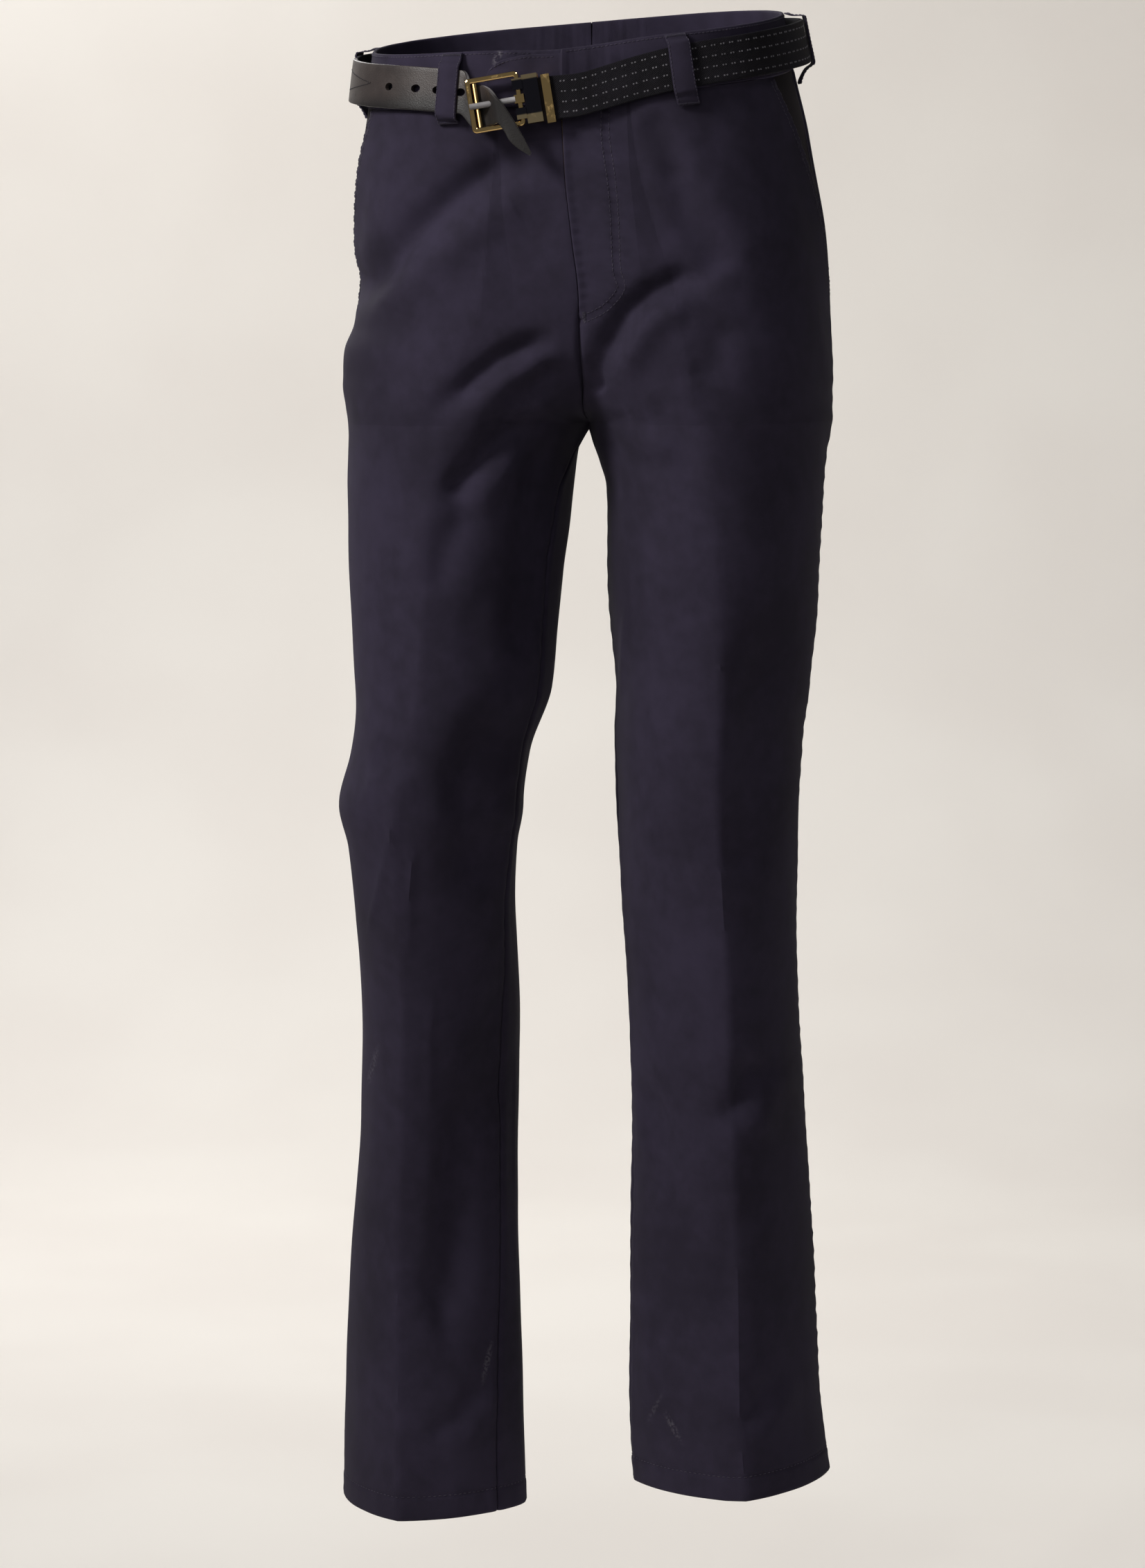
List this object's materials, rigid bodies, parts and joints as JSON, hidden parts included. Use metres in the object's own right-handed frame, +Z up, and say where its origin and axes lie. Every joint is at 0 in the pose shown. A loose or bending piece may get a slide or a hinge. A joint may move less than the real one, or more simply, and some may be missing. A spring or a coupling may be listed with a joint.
{
  "type": "chino trousers with a belt",
  "caption": "Cotton twill chino trousers in a worn pose, hollow from waist to hems, with slanted pockets, fly, creases and a leather and elastic belt with a metal buckle.",
  "frame": {"origin": "middle of the waist opening, where the wearer's waist holds the trousers", "axes": "+Z up, -Y towards the front, +X towards the wearer's left, which is image right"},
  "size_m": [0.3731, 0.2707, 1.1258],
  "materials": {
    "twill": "matte navy-black cotton twill",
    "leather": "satin, slightly scuffed",
    "webbing": "matte elastic twill webbing",
    "gilt": "polished pale gold"
  },
  "bodies": {
    "root": {"front_right": "twill", "back_right": "twill", "pocket_facing_right": "twill", "front_left": "twill", "back_left": "twill", "pocket_facing_left": "twill", "fly_shield": "twill", "waistband_right": "twill", "waistband_left": "twill", "loop_front_right": "twill", "loop_front_left": "twill", "loop_side_right": "twill", "loop_side_left": "twill", "loop_back_right": "twill", "loop_back_left": "twill", "loop_centre_back": "twill", "belt_leather": "leather", "belt_webbing": "webbing", "buckle_frame": "gilt", "buckle_bar": "gilt", "buckle_prong": "gilt", "buckle_clamp": "gilt", "buckle_end_bar": "gilt"}
  },
  "joints": []
}
